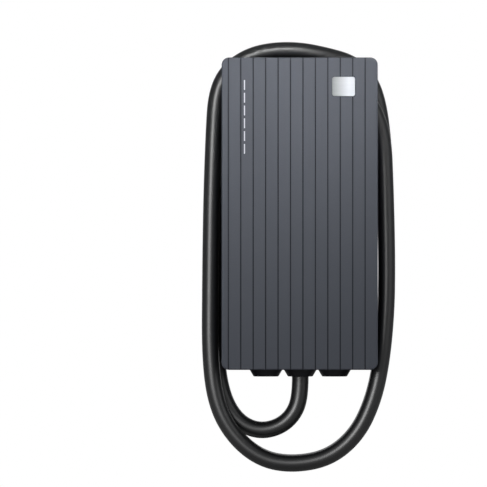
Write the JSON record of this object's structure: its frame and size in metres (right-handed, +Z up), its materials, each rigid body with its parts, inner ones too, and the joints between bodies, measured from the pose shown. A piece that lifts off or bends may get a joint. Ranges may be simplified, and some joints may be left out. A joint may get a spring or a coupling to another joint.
{
  "type": "ev wallbox",
  "caption": "Wall-mounted charging station for electric cars with a ribbed front cover, a light bar, cable glands and a tethered charging cable wound round the housing",
  "frame": {"origin": "centre of the wall bracket's four bolt holes, on the wall plane", "axes": "+X to the right seen from the front, +Y into the wall, +Z up; the front faces -Y"},
  "size_m": [0.2372, 0.1279, 0.5265],
  "materials": {
    "cover": "satin, dark blue-grey",
    "badge": "satin",
    "light": "clear, lit white",
    "housing": "fine texture",
    "lid": "fine texture",
    "bracket": "powder coat",
    "seal": "matte",
    "screw": "zinc",
    "circuit_board": "solder mask",
    "copper": "bare wire",
    "component": "moulded",
    "terminal": "moulded",
    "core_steel": "plain",
    "gland": "fine texture",
    "core_wire": "insulation",
    "cable_jacket": "satin",
    "plug_plastic": "fine texture",
    "plug_rubber": "matte",
    "contact": "silver plated"
  },
  "bodies": {
    "root": {"front_cover": "cover", "badge_plate": "badge", "light_guide": "light", "status_leds": "light", "body_shell": "housing", "inner_lid": "lid", "wall_bracket": "bracket", "lid_gasket": "seal", "gland_seal_left": "seal", "gland_seal_middle": "seal", "gland_seal_right": "seal", "led_board_screws": "screw", "cover_screws": "screw", "lid_screws": "screw", "bracket_lock_screws": "screw", "board_screws": "screw", "terminal_screws": "screw", "plug_screws": "screw", "holster_screws": "screw", "led_board": "circuit_board", "main_board": "circuit_board", "control_board": "circuit_board", "card_reader_board": "circuit_board", "card_reader_coil": "copper", "supply_winding": "copper", "power_relay_1": "component", "power_relay_2": "component", "current_sensor": "component", "capacitors": "component", "processor_chips": "component", "input_terminals": "terminal", "output_terminals": "terminal", "supply_core": "core_steel", "radio_module": "core_steel", "gland_body_left": "gland", "gland_body_middle": "gland", "gland_body_right": "gland", "gland_nut_left": "gland", "gland_nut_middle": "gland", "gland_nut_right": "gland", "gland_locknut_left": "gland", "gland_locknut_middle": "gland", "gland_locknut_right": "gland", "gland_blank_right": "gland", "output_cores": "core_wire", "cable_root": "cable_jacket", "cable_riser": "cable_jacket", "cable_turn_1": "cable_jacket", "cable_turn_2": "cable_jacket", "cable_turn_3": "cable_jacket", "cable_tail": "cable_jacket", "plug_shell_front": "plug_plastic", "plug_shell_back": "plug_plastic", "plug_nose": "plug_plastic", "plug_holster": "plug_plastic", "plug_boot": "plug_rubber", "plug_contacts": "contact"}
  },
  "joints": []
}
